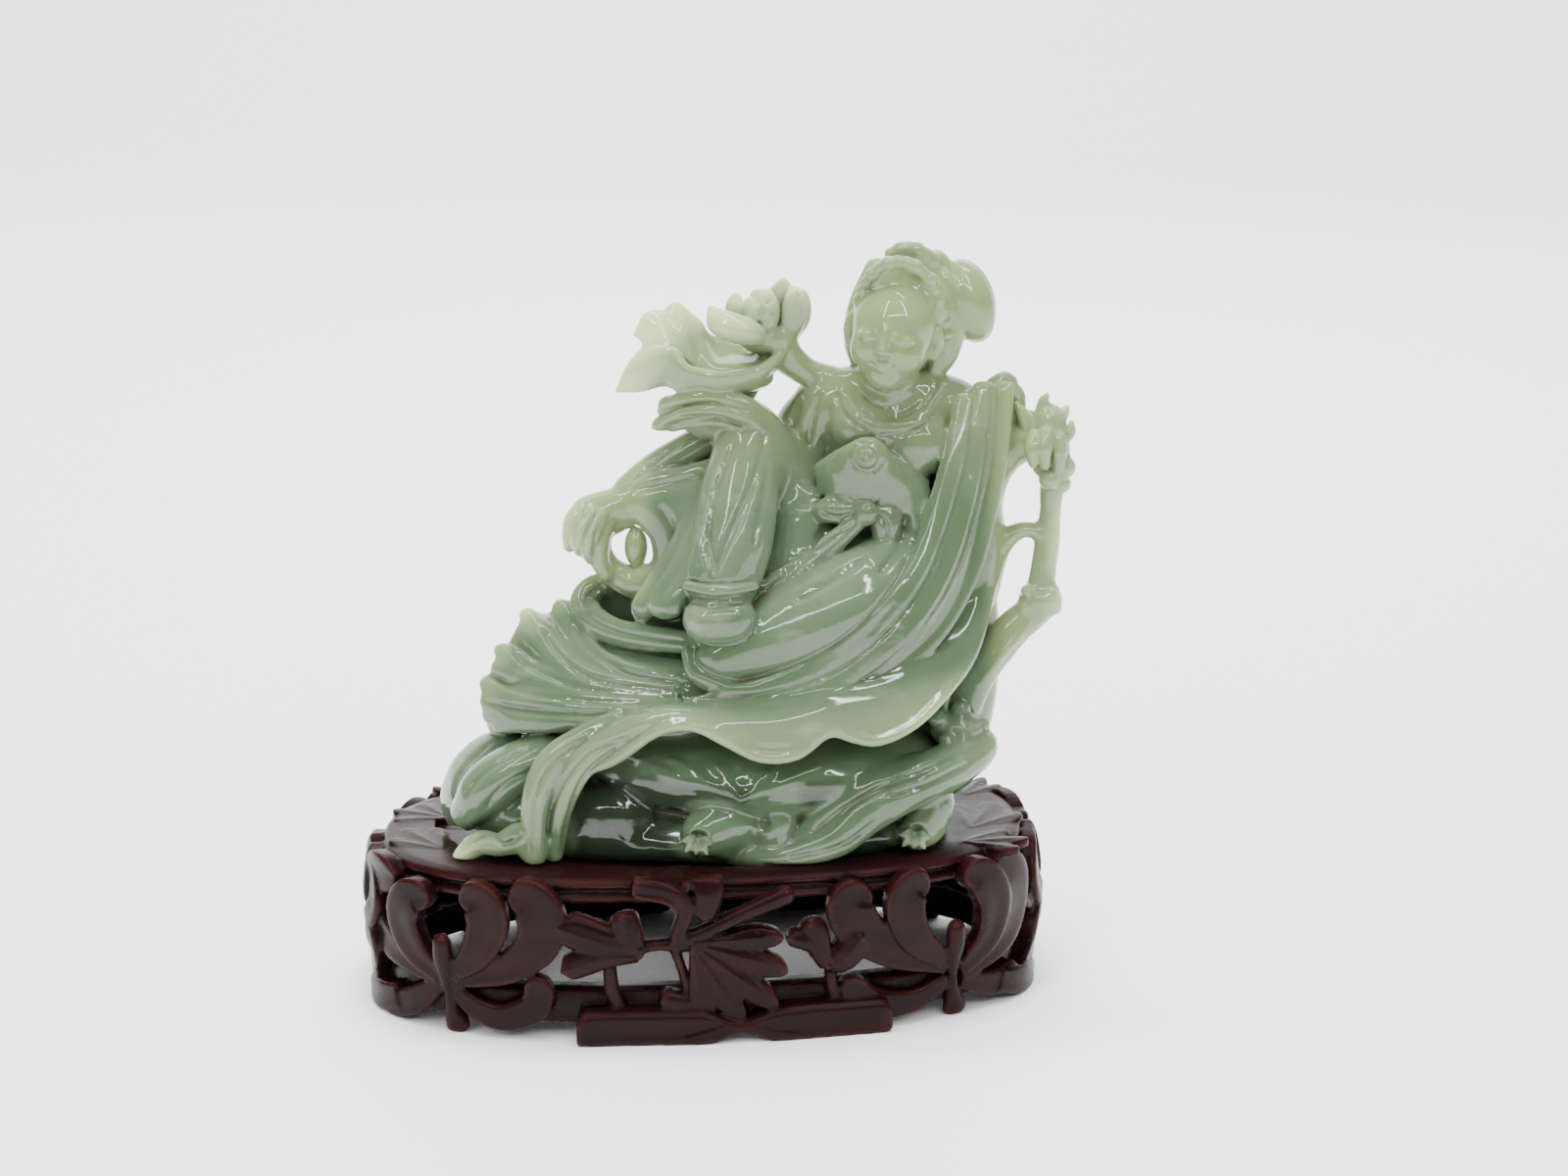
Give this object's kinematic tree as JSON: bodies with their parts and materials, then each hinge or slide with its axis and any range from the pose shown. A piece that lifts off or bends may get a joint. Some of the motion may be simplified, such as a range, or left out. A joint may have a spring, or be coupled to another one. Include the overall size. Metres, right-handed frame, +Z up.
{
  "type": "carved jade figurine",
  "caption": "Jade carving of a robed lady reclining on a lotus leaf, resting in the recess of an oval pierced rosewood stand.",
  "frame": {"origin": "Middle of the whole object's box, on the surface that the stand's feet rest on.", "axes": "+Z up, the longest extent. X runs along the stand's long side, with +X towards the staff that the lady holds. The carved front faces -Y, and Y is the shortest extent."},
  "size_m": [0.1826, 0.0984, 0.1938],
  "materials": {
    "jade": "polished, slightly translucent",
    "rosewood": "satin lacquer"
  },
  "bodies": {
    "root": {"jade_figure": "jade", "wood_stand": "rosewood"}
  },
  "joints": []
}
